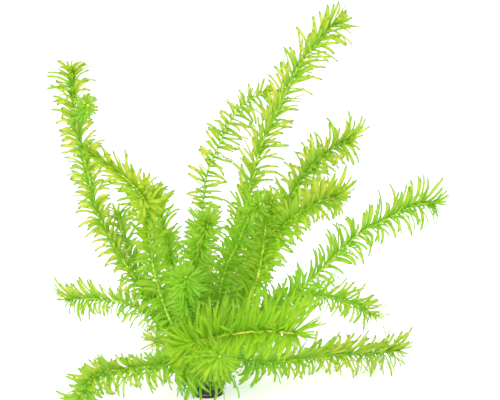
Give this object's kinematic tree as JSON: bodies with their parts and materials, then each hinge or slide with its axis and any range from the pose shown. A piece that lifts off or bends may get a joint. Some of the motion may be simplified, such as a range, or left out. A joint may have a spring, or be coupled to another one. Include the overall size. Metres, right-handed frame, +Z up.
{
  "type": "brazilian waterweed",
  "caption": "Potted bunch of Brazilian waterweed: long leafy shoots with whorls of narrow bright green leaves, spreading from a small black net pot filled with mineral wool.",
  "frame": {"origin": "centre of the pot's bottom face, on the surface that the plant stands on", "axes": "+Z up, out of the pot; +X to the right in the view of the picture; +Y away from that view's front"},
  "size_m": [0.341, 0.2605, 0.338],
  "materials": {
    "pot": "moulded, slightly glossy",
    "wool": "damp mineral wool",
    "leaf": "thin translucent leaf"
  },
  "bodies": {
    "root": {"pot": "pot", "wool_plug": "wool", "tall_left_shoot": "leaf", "arching_left_shoot": "leaf", "short_left_shoot": "leaf", "rear_left_shoot": "leaf", "slender_shoot": "leaf", "tall_right_shoot": "leaf", "upper_right_shoot": "leaf", "middle_right_shoot": "leaf", "right_shoot": "leaf", "centre_shoot": "leaf", "inner_centre_shoot": "leaf", "centre_left_shoot": "leaf", "short_front_shoot": "leaf", "left_shoot": "leaf", "floor_left_shoot": "leaf", "floor_right_shoot": "leaf", "drooping_right_shoot": "leaf", "front_shoot": "leaf", "front_tip_shoot": "leaf", "back_left_shoot": "leaf", "back_right_shoot": "leaf", "back_shoot": "leaf", "floor_back_shoot": "leaf", "side_shoot": "leaf"}
  },
  "joints": []
}
